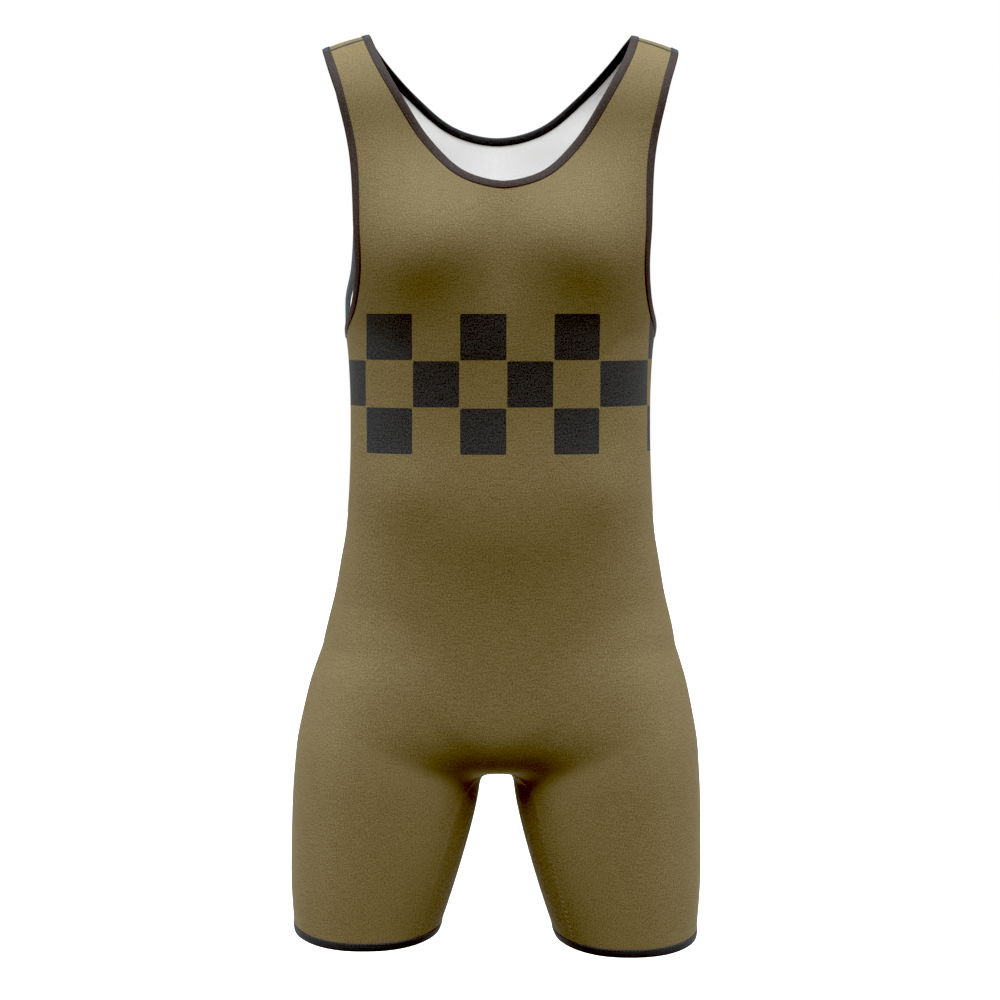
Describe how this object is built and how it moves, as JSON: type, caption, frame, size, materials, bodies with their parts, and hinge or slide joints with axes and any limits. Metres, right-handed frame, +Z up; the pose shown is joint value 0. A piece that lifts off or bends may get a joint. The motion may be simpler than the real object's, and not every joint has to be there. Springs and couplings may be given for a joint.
{
  "type": "wrestling singlet",
  "caption": "One-piece wrestling singlet in its worn, hollow form, with scooped neck, open armholes, thigh-length legs and dark bound edges.",
  "frame": {"origin": "midway between the tops of the two shoulder straps, where a wearer's shoulders hold the garment up", "axes": "+Z up along the body, +Y from the front of the garment to its back, +X to the wearer's left"},
  "size_m": [0.3755, 0.2293, 0.8251],
  "materials": {
    "cloth": "stretch knit, olive with a band of charcoal squares",
    "binding": "charcoal elastic binding"
  },
  "bodies": {
    "root": {"front_panel": "cloth", "back_panel": "cloth", "inner_leg_gusset": "cloth", "neck_binding_front": "binding", "neck_binding_back": "binding", "armhole_binding_left": "binding", "armhole_binding_right": "binding", "hem_band_left": "binding", "hem_band_right": "binding"}
  },
  "joints": []
}
